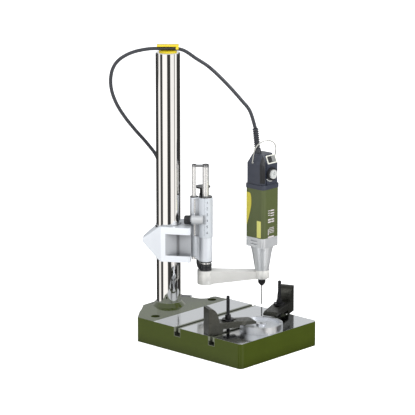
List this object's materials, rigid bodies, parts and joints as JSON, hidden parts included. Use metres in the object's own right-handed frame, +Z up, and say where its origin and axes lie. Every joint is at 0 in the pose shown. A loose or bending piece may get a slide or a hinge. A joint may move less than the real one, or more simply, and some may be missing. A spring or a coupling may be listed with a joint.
{
  "type": "drill stand",
  "caption": "Bench drill stand: a heavy base with T-slots and a tall chromed column carry a sprung head that feeds a small rotary drill, with work clamps and the drill's cord.",
  "frame": {"origin": "on the column's axis, at the plane of the bench", "axes": "+Z up along the column, +X towards the front edge of the table, +Y to the far side as the picture shows it"},
  "size_m": [0.3951, 0.2715, 0.5357],
  "materials": {
    "green_paint": "gloss green enamel, with the machined table left as bare ground metal",
    "chrome_column": "polished hard chrome",
    "silver_casting": "satin silver-grey paint on a light casting",
    "machined_aluminium": "turned and milled, bright",
    "bright_steel": "ground steel",
    "rod_chrome": "ground and chromed",
    "black_steel": "blackened forging, slightly oily",
    "screw_black": "black oxide",
    "black_rubber": "satin rubber",
    "black_plastic": "fine grained",
    "grey_plastic": "fine grained dark blue-grey",
    "green_plastic": "fine grained olive green",
    "white_plastic": "smooth",
    "yellow_plastic": "smooth yellow",
    "bronze": "sintered bronze",
    "copper_winding": "wound and varnished"
  },
  "bodies": {
    "base": {"base_casting": "green_paint", "column": "chrome_column", "column_set_screw": "screw_black", "column_flange": "green_paint", "cable_holder": "yellow_plastic", "workpiece": "machined_aluminium", "cord_tail": "black_rubber", "cord_coil": "black_rubber", "coil_tie": "black_plastic", "plug_lead": "black_rubber", "plug_body": "black_plastic", "plug_pins": "bright_steel"},
    "left_bolt": {"left_bolt": "black_steel"},
    "left_clamp": {"left_clamp": "black_steel", "left_washer": "screw_black"},
    "left_nut": {"left_nut": "black_steel"},
    "right_bolt": {"right_bolt": "black_steel"},
    "right_clamp": {"right_clamp": "black_steel", "right_washer": "screw_black"},
    "right_nut": {"right_nut": "black_steel"},
    "carrier": {"clamp_bush": "bronze"},
    "head": {"head_casting": "silver_casting", "quill_housing": "silver_casting", "housing_screws": "screw_black", "head_clamp_screws": "screw_black", "scale_plate": "machined_aluminium", "rod_seals": "black_rubber", "guide_bushes": "bronze", "return_spring": "bright_steel", "lock_boss": "machined_aluminium"},
    "lock_knob": {"lock_knob": "black_plastic", "lock_washer": "bright_steel"},
    "stop_ring": {"stop_ring": "black_plastic"},
    "stop_knob": {"stop_knob": "black_plastic"},
    "quill": {"front_rod": "rod_chrome", "rear_rod": "rod_chrome", "rod_yoke": "bright_steel", "yoke_screws": "screw_black", "spring_collar": "bright_steel", "buffer_ring": "rod_chrome", "buffer_collar": "black_rubber", "tool_arm": "silver_casting", "arm_set_screws": "screw_black", "tool_nose": "machined_aluminium", "tool_band": "machined_aluminium", "tool_body": "green_plastic", "tool_trim": "grey_plastic", "tool_rear_cap": "grey_plastic", "switch_frame": "white_plastic", "strain_relief": "black_rubber", "cord_lead": "black_rubber", "motor_can": "bright_steel", "spindle_bearings": "bright_steel"},
    "spindle": {"spindle_shaft": "bright_steel", "armature": "copper_winding", "collet_nut": "bright_steel", "drill_bit": "bright_steel"},
    "switch_rocker": {"switch_rocker": "black_plastic"},
    "speed_dial": {"speed_dial": "black_plastic"},
    "hanging_bail": {"hanging_bail": "bright_steel"}
  },
  "joints": [
    {"name": "left_bolt_slide", "type": "slide", "parent": "base", "child": "left_bolt", "axis": [0, 1, 0], "range_m": [-0.03, 0]},
    {"name": "left_clamp_turn", "type": "hinge", "parent": "left_bolt", "child": "left_clamp", "pos_m": [0.2037, -0.059, 0.06], "axis": [0, 0, 1], "range_deg": [-25, 25]},
    {"name": "left_nut_turn", "type": "hinge", "parent": "left_bolt", "child": "left_nut", "pos_m": [0.2037, -0.059, 0.06], "axis": [0, 0, 1], "continuous": true},
    {"name": "right_bolt_slide", "type": "slide", "parent": "base", "child": "right_bolt", "axis": [0, 1, 0], "range_m": [0, 0.017]},
    {"name": "right_clamp_turn", "type": "hinge", "parent": "right_bolt", "child": "right_clamp", "pos_m": [0.2037, 0.08, 0.06], "axis": [0, 0, 1], "range_deg": [-25, 25]},
    {"name": "right_nut_turn", "type": "hinge", "parent": "right_bolt", "child": "right_nut", "pos_m": [0.2037, 0.08, 0.06], "axis": [0, 0, 1], "continuous": true},
    {"name": "head_lift", "type": "slide", "parent": "base", "child": "carrier", "axis": [0, 0, 1], "range_m": [0, 0.12]},
    {"name": "head_swing", "type": "hinge", "parent": "carrier", "child": "head", "pos_m": [0, 0, 0.17], "axis": [0, 0, 1], "range_deg": [-55, 75]},
    {"name": "lock_turn", "type": "hinge", "parent": "head", "child": "lock_knob", "pos_m": [0.0367, 0.01383, 0.211], "axis": [0.766, 0.6428, 0], "range_deg": [-180, 0]},
    {"name": "stop_travel", "type": "slide", "parent": "head", "child": "stop_ring", "axis": [0, 0, -1], "range_m": [-0.02, 0]},
    {"name": "stop_turn", "type": "hinge", "parent": "stop_ring", "child": "stop_knob", "pos_m": [0.03527, 0.05505, 0.26], "axis": [0, 0, -1], "range_deg": [-7210, 10]},
    {"name": "quill_feed", "type": "slide", "parent": "head", "child": "quill", "axis": [0, 0, -1], "range_m": [0, 0.04], "stiffness_N_per_m": 400, "springref_m": -0.065, "deforming": ["return_spring", "cord_lead"]},
    {"name": "spindle_turn", "type": "hinge", "parent": "quill", "child": "spindle", "pos_m": [0.13253, 0.1112, 0.18], "axis": [0, 0, 1], "continuous": true},
    {"name": "switch_rock", "type": "hinge", "parent": "quill", "child": "switch_rocker", "pos_m": [0.15037, 0.1147, 0.32617], "axis": [-0.3846, 0, 0.9231], "range_deg": [-6, 6]},
    {"name": "dial_turn", "type": "hinge", "parent": "quill", "child": "speed_dial", "pos_m": [0.15353, 0.1112, 0.3], "axis": [1, 0, 0], "range_deg": [-140, 140]},
    {"name": "bail_swing", "type": "hinge", "parent": "quill", "child": "hanging_bail", "pos_m": [0.13453, 0.1112, 0.32], "axis": [0.2995, 0.9541, 0], "range_deg": [-16, 40]}
  ],
  "couplings": [
    {"joint": "stop_turn", "follows": "stop_travel", "rad_per_m": 6283.2}
  ]
}
